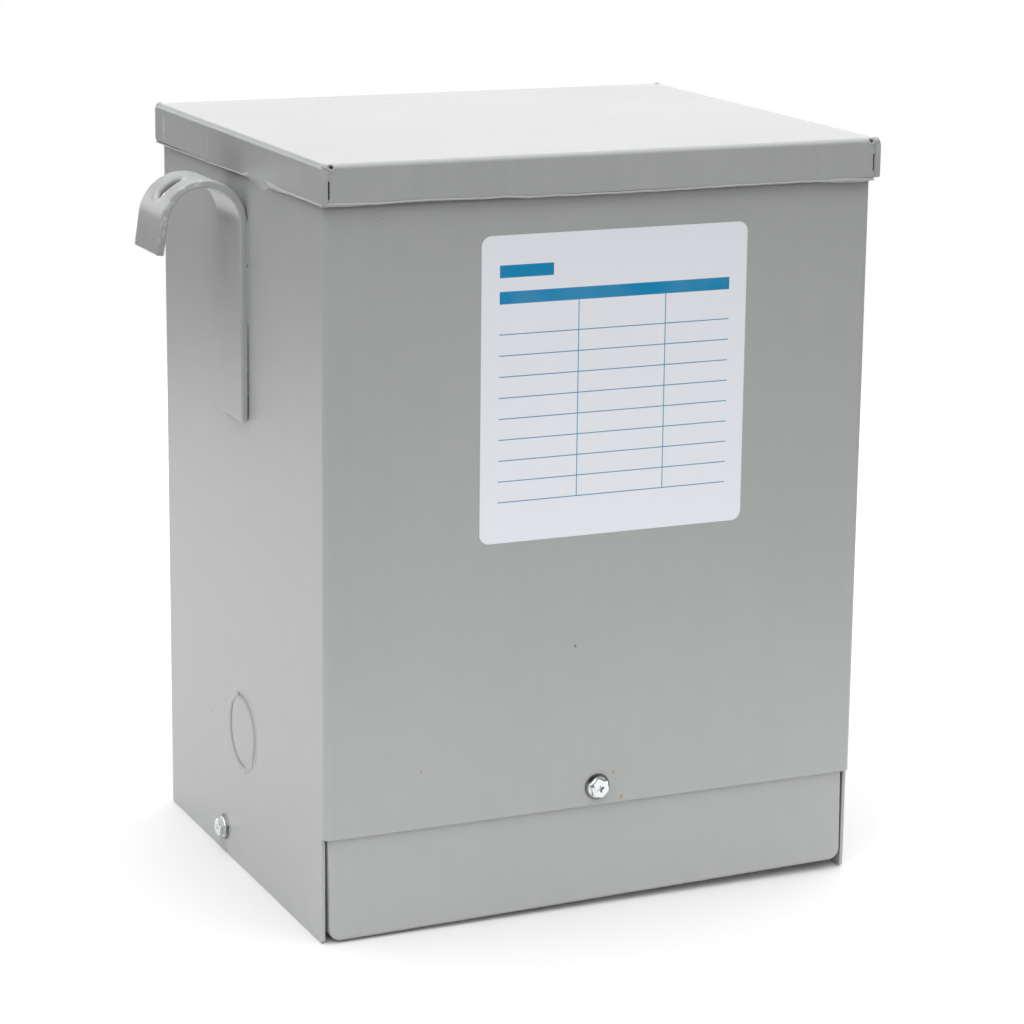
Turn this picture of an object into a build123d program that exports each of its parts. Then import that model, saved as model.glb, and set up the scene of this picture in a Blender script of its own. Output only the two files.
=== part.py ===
"""General purpose transformer for a wall, in a folded sheet steel outdoor case.

The origin is the middle of the base, on the level that the side walls stand on. X runs to
the right as seen from the front, Y from the front panel to the back, Z up. Millimetres.
"""

import os
from math import cos, radians, sin

from build123d import *

os.makedirs("parts", exist_ok=True)

# Case, one sheet bent round the front and both sides
case_width = 262.0
case_depth = 216.0
overall_height = 346.0
case_sheet = 1.5
case_bend_radius = 3.0
rear_return_width = 18.0
front_panel_bottom = 48.5
panel_edge_break = 0.4
wall_setback = 4.0
wall_toe_radius = 2.0

# Lid, a shallow pan over the top of the case
lid_sheet = 1.9
lid_flange_height = 17.5
lid_side_play = 0.2
lid_front_play = 1.7
lid_bend_radius = 2.2
lid_slit_width = 0.8
lid_slit_length = 8.0
lid_slit_from_edge = 2.6
lid_slit_inset = 0.9
lid_relief_radius = 1.4
lid_relief_inset = 1.2
lid_relief_drop = 0.6

# Sealant run under the edge of the lid
bead_height = 1.8
bead_inset = 0.3
bead_slope = 1.1

# Lower cover, a tray that closes the wiring compartment
cover_sheet = 1.5
cover_side_gap = 1.4
cover_panel_gap = 0.3
cover_rear_gap = 1.0
cover_bottom = 2.6
cover_overlap = 18.0
cover_flange_height = 22.0
cover_flange_lead = 30.0
cover_corner_radius = 5.5
cover_edge_radius = 1.8
cover_tilt = 0.85

# Potted core and coil in the upper part of the case
core_bottom = 96.0
core_play = 0.2

# Knockouts, the 1 inch conduit size
knockout_diameter = 34.5
knockout_height = 67.0
knockout_shear_gap = 0.3
knockout_tie_width = 5.5
knockout_edge_break = 0.5

# Hooks, bent from flat strap and welded to the side walls
strap_width = 32.4
strap_behind_centre = 3.3
strap_thickness = 3.6
crown_below_lid = 1.4
hook_leg_length = 90.0
hook_inner_radius = 16.6
hook_wrap_angle = 171.6
hook_tip_length = 15.3
strap_edge_break = 0.7
hook_tip_radius = 1.2
strap_relief_depth = 0.5
strap_relief_height = 35.0
crown_slot_length = 14.0
crown_slot_width = 8.0
crown_slot_angle = 36.0
slot_edge_break = 0.9

# Screws with a washer head and a cross recess
front_screw_above_edge = 9.0
left_screw_height = 12.2
side_screw_behind_centre = 26.5
screw_flange_diameter = 12.2
screw_flange_thickness = 1.1
screw_flange_edge = 0.5
screw_hex_width = 8.0
screw_head_height = 4.0
screw_head_edge = 0.6
front_screw_turn = 14.0
left_screw_turn = -11.0
right_screw_turn = 8.0
screw_shank_diameter = 4.8
screw_length = 14.0
screw_tip_taper = 1.2
screw_hole_play = 0.15
recess_length = 5.0
recess_width = 1.2
recess_depth = 1.6
clinch_nut_diameter = 9.0
clinch_nut_height = 4.0

# Nameplate
plate_width = 128.0
plate_height = 136.0
plate_thickness = 0.2
plate_corner_radius = 4.5
plate_centre_offset = 5.0
plate_below_lid = 17.0

# Places that follow from the sizes above
case_top = overall_height - lid_sheet
wall_outer = case_width / 2
wall_inner = wall_outer - case_sheet
front_face = -case_depth / 2
back_face = case_depth / 2
panel_inner = front_face + case_sheet
return_inner = back_face - case_sheet
back_panel_front = return_inner - case_sheet
case_inner_radius = case_bend_radius - case_sheet

lid_width = case_width + 2 * (lid_side_play + lid_sheet)
lid_depth = case_depth + 2 * (lid_front_play + lid_sheet)
lid_edge = overall_height - lid_flange_height

cover_side = wall_inner - cover_side_gap
cover_front = panel_inner + cover_panel_gap
cover_top = front_panel_bottom + cover_overlap
cover_back = back_panel_front - cover_rear_gap
cover_floor = cover_bottom + cover_sheet

# The cover sits crooked, right end high, and its side screws sit where its own holes are
cover_lean = radians(cover_tilt)
cover_across = Vector(cos(cover_lean), 0, sin(cover_lean))
cover_up = Vector(-sin(cover_lean), 0, cos(cover_lean))
cover_screw_level = left_screw_height + cover_side * sin(cover_lean)
right_screw_height = cover_screw_level + cover_side * sin(cover_lean)
cover_origin = Vector(0, 0, cover_screw_level) - cover_up * cover_screw_level
nut_level = cover_origin + cover_up * cover_screw_level + Vector(0, side_screw_behind_centre, 0)
nut_reach = cover_across * (cover_side - cover_sheet)

front_screw_height = front_panel_bottom + front_screw_above_edge
screw_hole_radius = screw_shank_diameter / 2 + screw_hole_play
strap_middle = Plane.XZ.offset(-strap_behind_centre)
hook_mean_radius = hook_inner_radius + strap_thickness / 2
hook_centre_height = lid_edge - crown_below_lid - hook_inner_radius - strap_thickness
hook_bottom = hook_centre_height - hook_leg_length
knockout_radius = knockout_diameter / 2
knockout_hole_radius = knockout_radius + knockout_shear_gap
plate_centre_height = lid_edge - plate_below_lid - plate_height / 2

front_screw_plane = Plane((0, front_face, front_screw_height), (1, 0, 0), (0, -1, 0))
wall_screw_planes = {
    "left": Plane(
        (-wall_outer, side_screw_behind_centre, left_screw_height), (0, -1, 0), (-1, 0, 0)
    ),
    "right": Plane(
        (wall_outer, side_screw_behind_centre, right_screw_height), (0, 1, 0), (1, 0, 0)
    ),
}
wall_nut_planes = {
    "left": Plane(nut_level - nut_reach, (0, -1, 0), -cover_across),
    "right": Plane(nut_level + nut_reach, (0, 1, 0), cover_across),
}
knockout_planes = {
    "left": Plane((-wall_outer, 0, knockout_height), (0, -1, 0), (-1, 0, 0)),
    "right": Plane((wall_outer, 0, knockout_height), (0, 1, 0), (1, 0, 0)),
}


def save(piece, label):
    """Names a finished piece and writes it."""
    piece.part.label = label
    export_step(piece.part, f"parts/{label}.step")


# Case wrapper, with the notch under the front panel and the holes for screws and knockouts
with BuildPart() as case_wrapper:
    with BuildSketch(Plane.XY):
        Rectangle(case_width, case_depth)
        fillet(vertices(), case_bend_radius)
        with BuildSketch(mode=Mode.PRIVATE) as wrapper_hollow:
            Rectangle(case_width - 2 * case_sheet, case_depth - 2 * case_sheet)
            fillet(vertices(), case_inner_radius)
        add(wrapper_hollow.sketch, mode=Mode.SUBTRACT)
        with Locations((0, back_face)):
            Rectangle(case_width - 2 * rear_return_width, 2 * case_sheet, mode=Mode.SUBTRACT)
    extrude(amount=case_top)
    with BuildSketch(Plane.YZ.offset(-wall_outer)):
        with Locations((front_face, 0)):
            Rectangle(2 * wall_setback, 2 * front_panel_bottom)
    extrude(amount=case_width, mode=Mode.SUBTRACT)
    toes = case_wrapper.edges().filter_by(Axis.X).group_by(Axis.Z)[0].group_by(Axis.Y)[0]
    fillet(toes, wall_toe_radius)
    underside = case_wrapper.faces().filter_by(Axis.Z).sort_by(Axis.Y)[0]
    notch_end = front_face + wall_setback
    outside_edges = underside.edges().filter_by(
        lambda edge: edge.center().Y < front_face + 0.01
        or (abs(edge.center().X) > wall_inner + 0.05 and edge.center().Y < notch_end - 0.01)
    )
    chamfer(outside_edges, panel_edge_break)
    for plane in knockout_planes.values():
        with BuildSketch(plane):
            Circle(knockout_hole_radius)
        extrude(amount=-case_sheet, mode=Mode.SUBTRACT)
        rims = case_wrapper.edges(Select.LAST).filter_by(GeomType.CIRCLE)
        chamfer(rims.sort_by(Axis(plane.origin, plane.z_dir))[-1], knockout_edge_break)
    for plane in (front_screw_plane, *wall_screw_planes.values()):
        with BuildSketch(plane):
            Circle(screw_hole_radius)
        extrude(amount=-case_sheet, mode=Mode.SUBTRACT)
save(case_wrapper, "case_wrapper")

# Back panel, a flat sheet welded inside the rear returns
with BuildPart() as back_panel:
    with BuildSketch(Plane.XZ.offset(-back_panel_front)):
        with Locations((0, case_top / 2)):
            Rectangle(2 * (wall_inner - case_inner_radius), case_top)
    extrude(amount=-case_sheet)
save(back_panel, "back_panel")

# Potted core and coil, cast as one block
with BuildPart() as potted_core:
    with BuildSketch(Plane.XY.offset(core_bottom)):
        core_middle = (panel_inner + back_panel_front) / 2
        core_depth = back_panel_front - panel_inner - 2 * core_play
        with Locations((0, core_middle)):
            Rectangle(2 * (wall_inner - core_play), core_depth)
        fillet(vertices(), case_inner_radius)
    extrude(amount=case_top - core_bottom)
save(potted_core, "potted_core")

# Lid, with bent edges, relief holes at the corners and slits down the open corners
with BuildPart() as lid:
    with BuildSketch(Plane.XY.offset(lid_edge)):
        Rectangle(lid_width, lid_depth)
    extrude(amount=lid_flange_height)
    fillet(lid.edges().group_by(Axis.Z)[-1], lid_bend_radius)
    with BuildSketch(Plane.XY.offset(lid_edge)):
        Rectangle(lid_width - 2 * lid_sheet, lid_depth - 2 * lid_sheet)
    extrude(amount=lid_flange_height - lid_sheet, mode=Mode.SUBTRACT)
    slit_x = lid_width / 2 - lid_sheet - lid_slit_width / 2 - lid_slit_inset
    relief_x = slit_x - lid_relief_inset
    slit_z = lid_edge + lid_slit_from_edge + lid_slit_length / 2
    bend_y = lid_depth / 2 - lid_bend_radius
    bend_z = overall_height - lid_bend_radius - lid_relief_drop
    for side in (-1, 1):
        for end in (-1, 1):
            slit_middle = (side * slit_x, end * lid_depth / 2, slit_z)
            with BuildSketch(Plane(slit_middle, (1, 0, 0), (0, end, 0))):
                SlotOverall(lid_slit_length, lid_slit_width, rotation=90)
            extrude(amount=-lid_sheet, mode=Mode.SUBTRACT)
            bend_middle = (side * relief_x, end * bend_y, bend_z)
            with BuildSketch(Plane(bend_middle, (1, 0, 0), (0, end, 1))):
                Circle(lid_relief_radius)
            extrude(amount=2 * lid_bend_radius, both=True, mode=Mode.SUBTRACT)
save(lid, "lid")

# Sealant, a bead in the corner between the lid's edge and the case, in four runs
bead_half_width = lid_width / 2 - bead_inset
bead_half_depth = lid_depth / 2 - bead_inset
bead_run_end = back_face - case_bend_radius
bead_end_middle = (bead_run_end + bead_half_depth) / 2
bead_end_depth = bead_half_depth - bead_run_end
bead_side_middle = (wall_outer + bead_half_width) / 2
bead_side_width = bead_half_width - wall_outer
bead_regions = {
    "front": (0, -bead_end_middle, 2 * bead_half_width, bead_end_depth),
    "back": (0, bead_end_middle, 2 * bead_half_width, bead_end_depth),
    "left": (-bead_side_middle, 0, bead_side_width, 2 * bead_run_end),
    "right": (bead_side_middle, 0, bead_side_width, 2 * bead_run_end),
}
with BuildPart() as bead_ring:
    with BuildSketch(Plane.XY.offset(lid_edge)):
        Rectangle(2 * bead_half_width, 2 * bead_half_depth)
    extrude(amount=-bead_height)
    chamfer(bead_ring.edges().group_by(Axis.Z)[0], bead_slope)
    with BuildSketch(Plane.XY.offset(lid_edge)):
        Rectangle(case_width, case_depth)
        fillet(vertices(), case_bend_radius)
    extrude(amount=-bead_height, mode=Mode.SUBTRACT)
for run, (middle_x, middle_y, size_x, size_y) in bead_regions.items():
    with BuildPart() as bead:
        with BuildSketch(Plane.XY.offset(lid_edge)):
            with Locations((middle_x, middle_y)):
                Rectangle(size_x, size_y)
        extrude(amount=-bead_height)
        add(bead_ring.part, mode=Mode.INTERSECT)
    save(bead, f"sealant_{run}")

# Lower cover, bent up as a tray whose front tucks behind the front panel
cover_face = Plane(cover_origin + Vector(0, cover_front, 0), cover_across, (0, -1, 0))
with BuildPart() as lower_cover:
    with BuildSketch(cover_face):
        with BuildLine():
            Polyline(
                (-cover_side, cover_top),
                (-cover_side, cover_bottom),
                (cover_side, cover_bottom),
                (cover_side, cover_top),
                close=True,
            )
        make_face()
        fillet(vertices().group_by(Axis.Y)[0], cover_corner_radius)
    extrude(amount=-(cover_back - cover_front))
    front_edges = lower_cover.faces().sort_by(Axis.Y)[0].edges()
    top_edge = front_edges.sort_by(Axis.Z)[-1]
    fillet(front_edges.filter_by(lambda edge: edge != top_edge), cover_edge_radius)
    with BuildSketch(cover_face.offset(-cover_sheet)):
        with BuildLine():
            Polyline(
                (-cover_side + cover_sheet, cover_top),
                (-cover_side + cover_sheet, cover_floor),
                (cover_side - cover_sheet, cover_floor),
                (cover_side - cover_sheet, cover_top),
                close=True,
            )
        make_face()
        fillet(vertices().group_by(Axis.Y)[0], cover_corner_radius - cover_sheet)
    extrude(amount=-(cover_back - cover_front), mode=Mode.SUBTRACT)
    with BuildSketch(Plane(cover_origin - cover_across * cover_side, (0, 1, 0), cover_across)):
        with BuildLine():
            Polyline(
                (cover_front + cover_sheet + cover_edge_radius, cover_top),
                (cover_front + cover_flange_lead, cover_flange_height),
                (cover_back, cover_flange_height),
                (cover_back, cover_top),
                close=True,
            )
        make_face()
    extrude(amount=2 * cover_side, mode=Mode.SUBTRACT)
    with BuildSketch(front_screw_plane):
        Circle(screw_hole_radius)
    extrude(amount=-(case_sheet + cover_panel_gap + cover_sheet), mode=Mode.SUBTRACT)
    for plane in wall_screw_planes.values():
        with BuildSketch(plane):
            Circle(screw_hole_radius)
        extrude(amount=-(case_sheet + 2 * cover_side_gap + cover_sheet), mode=Mode.SUBTRACT)
save(lower_cover, "lower_cover")

# Knockout discs, each held by two ties
for side, plane in knockout_planes.items():
    with BuildPart() as knockout:
        with BuildSketch(plane):
            Circle(knockout_radius)
        extrude(amount=-case_sheet)
        rims = knockout.edges().filter_by(GeomType.CIRCLE)
        chamfer(rims.sort_by(Axis(plane.origin, plane.z_dir))[-1], knockout_edge_break)
        with BuildSketch(plane):
            Circle(knockout_hole_radius)
            Rectangle(knockout_tie_width, 2 * knockout_hole_radius, mode=Mode.INTERSECT)
        extrude(amount=-case_sheet)
    save(knockout, f"{side}_knockout")

# Hooks, strap bent over and splayed at the tip, with a slot through the crown
slot_lean = radians(crown_slot_angle)
strap_face = wall_outer + strap_thickness
for side, direction in (("left", -1), ("right", 1)):
    crown_centre = Vector(
        direction * (strap_face + hook_inner_radius), strap_behind_centre, hook_centre_height
    )
    slot_outward = Vector(direction * sin(slot_lean), 0, cos(slot_lean))
    slot_along = Vector(direction * cos(slot_lean), 0, -sin(slot_lean))
    wrap = -direction * hook_wrap_angle
    with BuildPart() as hook:
        with BuildSketch(strap_middle):
            with BuildLine():
                back_start = (direction * wall_outer, hook_centre_height)
                over = JernArc(back_start, (0, 1), hook_inner_radius + strap_thickness, wrap)
                over_tip = Line(over @ 1, over @ 1 + (over % 1) * hook_tip_length)
                front_start = (direction * strap_face, hook_centre_height)
                under = JernArc(front_start, (0, 1), hook_inner_radius, wrap)
                under_tip = Line(under @ 1, under @ 1 + (under % 1) * hook_tip_length)
                Line(over_tip @ 1, under_tip @ 1)
                Polyline(
                    back_start,
                    (direction * wall_outer, hook_bottom),
                    (direction * strap_face, hook_bottom),
                    front_start,
                )
            make_face()
            tip_corners = [vertices().sort_by_distance(end @ 1)[0] for end in (over_tip, under_tip)]
            fillet(tip_corners, hook_tip_radius)
        extrude(amount=strap_width / 2, both=True)
        chamfer(hook.faces().filter_by(Axis.Y).edges(), strap_edge_break)
        slot_place = crown_centre + slot_outward * hook_mean_radius
        with BuildSketch(Plane(slot_place, slot_along, slot_outward)):
            SlotOverall(crown_slot_length, crown_slot_width)
        extrude(amount=strap_thickness, both=True, mode=Mode.SUBTRACT)
        slot_rim = hook.edges(Select.LAST).filter_by(
            lambda edge: (edge.center() - crown_centre).dot(slot_outward) > hook_mean_radius
        )
        chamfer(slot_rim, slot_edge_break)
        with BuildSketch(strap_middle):
            with BuildLine():
                Polyline(
                    (direction * wall_outer, hook_bottom),
                    (direction * (wall_outer + strap_relief_depth), hook_bottom),
                    (direction * wall_outer, hook_bottom + strap_relief_height),
                    close=True,
                )
            make_face()
        extrude(amount=strap_width, both=True, mode=Mode.SUBTRACT)
    save(hook, f"{side}_hook")

# Screws and the clinch nuts behind them
front_grip = case_sheet + cover_panel_gap + cover_sheet
screw_places = {
    "front": (front_screw_plane, front_screw_plane.offset(-front_grip), front_screw_turn),
    "left": (wall_screw_planes["left"], wall_nut_planes["left"], left_screw_turn),
    "right": (wall_screw_planes["right"], wall_nut_planes["right"], right_screw_turn),
}
for place, (plane, nut_plane, turn) in screw_places.items():
    outward = Axis(plane.origin, plane.z_dir)
    with BuildPart() as screw:
        with BuildSketch(plane):
            RegularPolygon(screw_hex_width / 2, 6, major_radius=False, rotation=turn)
        extrude(amount=screw_head_height)
        chamfer(screw.faces().sort_by(outward)[-1].edges(), screw_head_edge)
        with BuildSketch(plane):
            Circle(screw_flange_diameter / 2)
        extrude(amount=screw_flange_thickness)
        flange_rims = screw.edges().filter_by(
            lambda edge: edge.geom_type == GeomType.CIRCLE
            and edge.radius > screw_flange_diameter / 2 - 0.01
        )
        chamfer(flange_rims.sort_by(outward)[-1], screw_flange_edge)
        with BuildSketch(plane.offset(screw_head_height)):
            Rectangle(recess_length, recess_width, rotation=turn)
            Rectangle(recess_width, recess_length, rotation=turn)
        extrude(amount=-recess_depth, mode=Mode.SUBTRACT)
        with BuildSketch(plane):
            Circle(screw_shank_diameter / 2)
        extrude(amount=-screw_length)
        chamfer(screw.faces().sort_by(outward)[0].edges(), screw_tip_taper)
    save(screw, f"{place}_screw")
    with BuildPart() as clinch_nut:
        with BuildSketch(nut_plane):
            Circle(clinch_nut_diameter / 2)
            Circle(screw_hole_radius, mode=Mode.SUBTRACT)
        extrude(amount=-clinch_nut_height)
    save(clinch_nut, f"{place}_clinch_nut")

# Nameplate
with BuildPart() as nameplate:
    with BuildSketch(Plane.XZ.offset(-front_face)):
        with Locations((plate_centre_offset, plate_centre_height)):
            RectangleRounded(plate_width, plate_height, plate_corner_radius)
    extrude(amount=plate_thickness)
save(nameplate, "nameplate")
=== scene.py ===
"""Dresses a wall hung outdoor transformer on its CAD frame.

It adds the paint, sealant, bent straps, screws, plate and studio, and runs as a script. Sizes are
metres, in the frame's own axes: X right, Y back, Z up, base on the floor.
"""

import math

import bmesh
import bpy
from bpy.props import FloatProperty, FloatVectorProperty, PointerProperty
from mathutils import Matrix, Vector, noise


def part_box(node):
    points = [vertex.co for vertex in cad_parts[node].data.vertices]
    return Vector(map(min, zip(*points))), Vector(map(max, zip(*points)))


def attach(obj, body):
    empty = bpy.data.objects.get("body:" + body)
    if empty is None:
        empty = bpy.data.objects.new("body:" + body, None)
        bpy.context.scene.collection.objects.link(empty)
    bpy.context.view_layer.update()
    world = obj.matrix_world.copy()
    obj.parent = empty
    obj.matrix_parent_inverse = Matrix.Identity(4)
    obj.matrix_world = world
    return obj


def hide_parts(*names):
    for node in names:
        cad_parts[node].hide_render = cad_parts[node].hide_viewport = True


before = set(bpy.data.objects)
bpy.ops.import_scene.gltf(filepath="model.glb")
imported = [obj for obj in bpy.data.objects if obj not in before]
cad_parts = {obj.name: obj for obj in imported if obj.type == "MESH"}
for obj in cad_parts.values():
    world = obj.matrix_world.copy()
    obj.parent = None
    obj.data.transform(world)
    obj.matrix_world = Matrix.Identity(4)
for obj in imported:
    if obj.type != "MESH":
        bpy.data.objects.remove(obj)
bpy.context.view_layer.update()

bl_info = {
    "name": "Wall transformer",
    "version": (1, 0, 0),
    "blender": (4, 5, 0),
    "location": "3D View > Sidebar > Transformer",
    "description": "Paint, sealant, hooks, screws, plate and studio for an outdoor box transformer",
    "category": "Object",
}

# Places that the frame gives
CASE_LOW, CASE_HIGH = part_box("case_wrapper")
LID_LOW, LID_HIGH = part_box("lid")
HOOK_LOW, HOOK_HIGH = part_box("left_hook")
PLATE_LOW, PLATE_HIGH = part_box("nameplate")
FRONT = CASE_LOW.y
WALL = CASE_HIGH.x
LID_EDGE = LID_LOW.z
SIDES = {"left": -1, "right": 1}
FLOOR_MIDDLE = (-0.15, 0.25, -0.0003)

TINY = 1e-6  # Less than any real gap
RING_STEP = 0.0012  # Between the rings of a bead
TIE_FADE = (0.36, 0.62)  # Shares of a tie's turn over which a knockout's groove comes in


def middle_of(node):
    """The middle of a CAD node's box."""
    low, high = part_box(node)
    return (low + high) / 2


# Sizes and colours that a user would change


def length(name, description, default):
    """A size in metres."""
    return FloatProperty(
        name=name, description=description, default=default, min=0.0, unit="LENGTH", precision=5
    )


def angle(name, description, degrees):
    """A turn, shown in degrees."""
    return FloatProperty(
        name=name, description=description, default=math.radians(degrees), subtype="ANGLE"
    )


def colour(name, description, default):
    """A linear colour."""
    return FloatVectorProperty(
        name=name, description=description, default=default, size=3, min=0, max=1, subtype="COLOR"
    )


def share(name, description, default, highest=1.0):
    """A plain number."""
    return FloatProperty(name=name, description=description, default=default, min=0.0, max=highest)


class TransformerHookSizes(bpy.types.PropertyGroup):
    """The bent straps that carry the case."""

    strap_width: length("Strap width", "Width of the strap", HOOK_HIGH.y - HOOK_LOW.y)
    strap_thickness: length("Strap thickness", "Thickness of the strap", 0.0036)
    inner_radius: length("Crown radius", "Inside radius of the bent crown", 0.0166)
    wrap: angle("Wrap", "How far the strap bends over", 171.6)
    crown_drop: length("Crown drop", "From the lid's edge down to the crown", 0.0014)
    tip: length("Tip", "Straight run after the bend", 0.0153)
    end_rounding: length("End rounding", "Rounding round both ends of the strap", 0.0008)
    slot_length: length("Slot length", "Length of the slot in the crown", 0.014)
    slot_width: length("Slot width", "Width of the slot in the crown", 0.0094)
    slot_lean: angle("Slot lean", "How far the slot sits from the top of the crown", 36)
    slot_rounding: length("Slot rounding", "Rounding of the slot's rim", 0.0024)
    edge_rounding: length("Edge rounding", "Rounding that the paint leaves on each edge", 0.0009)
    gap: length("Gap", "Stand-off at the strap's lower end", 0.0005)
    gap_height: length("Gap height", "How far up the stand-off reaches", 0.044)


class TransformerScrewSizes(bpy.types.PropertyGroup):
    """The flanged hex screws of the lower cover."""

    flange_diameter: length("Flange", "Diameter of the flange", 0.0122)
    flange_thickness: length("Flange thickness", "Thickness of the flange", 0.0011)
    hex_width: length("Hex", "Across the flats", 0.008)
    head_height: length("Head height", "From the sheet to the top of the head", 0.004)
    recess_length: length("Recess length", "Across the cross recess", 0.005)
    recess_width: length("Recess width", "Width of one arm of the recess", 0.0012)
    recess_depth: length("Recess depth", "Depth of the cross recess", 0.0017)
    shank: length("Shank", "Diameter over the thread", 0.0048)
    shank_length: length("Shank length", "Length under the head", 0.014)
    pitch: length("Pitch", "Pitch of the thread", 0.0012)
    front_turn: angle("Front turn", "How far the front head is turned", 14)
    left_turn: angle("Left turn", "How far the left head is turned", -11)
    right_turn: angle("Right turn", "How far the right head is turned", 8)


class TransformerSealantSizes(bpy.types.PropertyGroup):
    """The painted bead of sealant under the lid's edge."""

    thickness: length("Thickness", "Half of the bead's width", 0.0016)
    front_height: length("Front height", "Height of the bead on the front and back", 0.0012)
    side_height: length("Side height", "Height of the bead on the sides", 0.0016)
    proud: length("Proud", "How far the bead stands out of the lid's face", 0.00046)
    waver: length("Waver", "How far the bead's lower line wanders", 0.00022)
    wipe_reach: length("Wipe", "How far down the wall the wiped part reaches", 0.0048)


class TransformerEdgeSizes(bpy.types.PropertyGroup):
    """The lid's open corners and the struck knockouts."""

    fold_height: length("Fold", "Height of the folded end at each open corner", 0.0148)
    fold_proud: length("Fold proud", "How far the fold stands out", 0.0007)
    burr: length("Burr", "Radius of the burr round each relief hole", 0.00055)
    disc_radius: length("Disc", "Radius of a knockout disc", 0.01750)
    disc_dish: length("Dish", "How far in from its rim a disc is dished", 0.0038)
    disc_drop: length("Drop", "How deep the disc's rim is dished", 0.0007)
    lip_width: length("Lip", "Width of the raised lip round a knockout", 0.0042)
    lip_height: length("Lip height", "How high the lip is round a knockout", 0.0008)
    tie_width: angle("Tie", "Turn that each tie takes up", 44)
    tie_turn: angle("Tie turn", "How far the ties sit from the top", 34)


class TransformerFinish(bpy.types.PropertyGroup):
    """Colours and surface of the coats."""

    paint: colour("Paint", "Grey coat of the case", (0.365, 0.375, 0.370))
    paint_light: colour("Thin paint", "The coat where it is thin", (0.45, 0.46, 0.455))
    # Chips and thin coat, and also the pale colour of a painted highlight on the straps' lower ends
    chip_and_highlight: colour("Chip", "Edges where the coat is chipped or thick", (0.60, 0.62, 0.62))
    paint_roughness: share("Paint roughness", "Roughness of the grey coat", 0.33)
    peel: share("Orange peel", "Height of the coat's fine waves, in micrometres", 2.5, 50.0)
    speck: colour("Pale speck", "Pale specks in the coat", (0.72, 0.73, 0.73))
    rust: colour("Rust", "Small rust specks", (0.36, 0.26, 0.15))
    # Dark specks and stains, and also the dark colour that painted shade is mixed towards
    dirt_and_shade: colour("Dirt", "Dark specks and stains", (0.07, 0.065, 0.06))
    plate: colour("Plate film", "White film of the nameplate", (0.80, 0.82, 0.86))
    plate_shade: colour("Plate shade", "The film where it is greyer", (0.72, 0.74, 0.78))
    print_colour: colour("Print", "Colour of the rules on the nameplate", (0.0, 0.23, 0.46))
    zinc: colour("Zinc", "Bright zinc on the screws", (0.80, 0.82, 0.83))
    zinc_dull: colour("Dull zinc", "The zinc where it is dull", (0.42, 0.44, 0.46))
    potting: colour("Potting", "Compound round the core and coil", (0.030, 0.028, 0.026))
    sand: colour("Sand", "Sand in the compound", (0.16, 0.15, 0.13))


class TransformerStudio(bpy.types.PropertyGroup):
    """Camera, floor and light."""

    lens: share("Lens", "Focal length in millimetres", 115.8, 400.0)
    high: share("Overhead", "Brightness of the tent overhead", 2.0, 10.0)
    left_front: share("Left front", "Brightness half way up, towards left front", 1.76, 10.0)
    front: share("Front", "Brightness half way up, in front", 0.48, 10.0)
    behind: share("Behind", "Brightness low down, behind and to the right", 2.3, 10.0)
    soft_box: share("Soft box", "Power of the soft box above the left front, in watts", 1.2, 50.0)
    floor: colour("Floor", "Pale floor", (0.86, 0.86, 0.86))
    floor_reach: length("Floor reach", "Where the floor has faded half away", 0.95)


# Materials


def arithmetic(operation, swapped=False):
    """A method that puts a math node between a field and another value."""

    def method(self, other):
        return self.math(operation, *((other, self) if swapped else (self, other)))

    return method


class Field:
    """A shader socket with Python's arithmetic."""

    __add__ = __radd__ = arithmetic("ADD")
    __sub__ = arithmetic("SUBTRACT")
    __rsub__ = arithmetic("SUBTRACT", swapped=True)
    __mul__ = __rmul__ = arithmetic("MULTIPLY")
    __truediv__ = arithmetic("DIVIDE")
    __rtruediv__ = arithmetic("DIVIDE", swapped=True)
    __gt__ = arithmetic("GREATER_THAN")
    __lt__ = arithmetic("LESS_THAN")
    most = arithmetic("MAXIMUM")
    least = arithmetic("MINIMUM")

    def __init__(self, finish, socket):
        self.finish = finish
        self.socket = socket

    def math(self, operation, *values):
        return self.finish.node("ShaderNodeMath", {"operation": operation}, dict(enumerate(values)))

    def __abs__(self):
        return self.math("ABSOLUTE", self)

    def rise(self, low, high, start=0.0, end=1.0):
        """Goes softly from start to end as the value goes from low to high."""
        return self.finish.node(
            "ShaderNodeMapRange",
            {"interpolation_type": "SMOOTHSTEP"},
            {"Value": self, "From Min": low, "From Max": high, "To Min": start, "To Max": end},
        )

    def within(self, low, high, soft):
        """1 between low and high, 0 outside, with soft edges."""
        return self.rise(low - soft, low + soft) * self.rise(high - soft, high + soft, 1.0, 0.0)


class Nodes:
    """A node tree and the nodes that are put in it."""

    def __init__(self, tree):
        self.tree = tree
        self.tree.nodes.clear()

    def node(self, kind, settings=None, values=None, output=0):
        """Adds a node of that kind, sets it, fills its sockets and gives what comes out of it."""
        made = self.tree.nodes.new(kind)
        for name, value in (settings or {}).items():
            setattr(made, name, value)
        for name, value in (values or {}).items():
            if isinstance(value, Field):
                self.tree.links.new(value.socket, made.inputs[name])
            else:
                made.inputs[name].default_value = value
        if isinstance(output, tuple):
            return tuple(Field(self, made.outputs[name]) for name in output)
        return Field(self, made.outputs[output])


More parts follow.
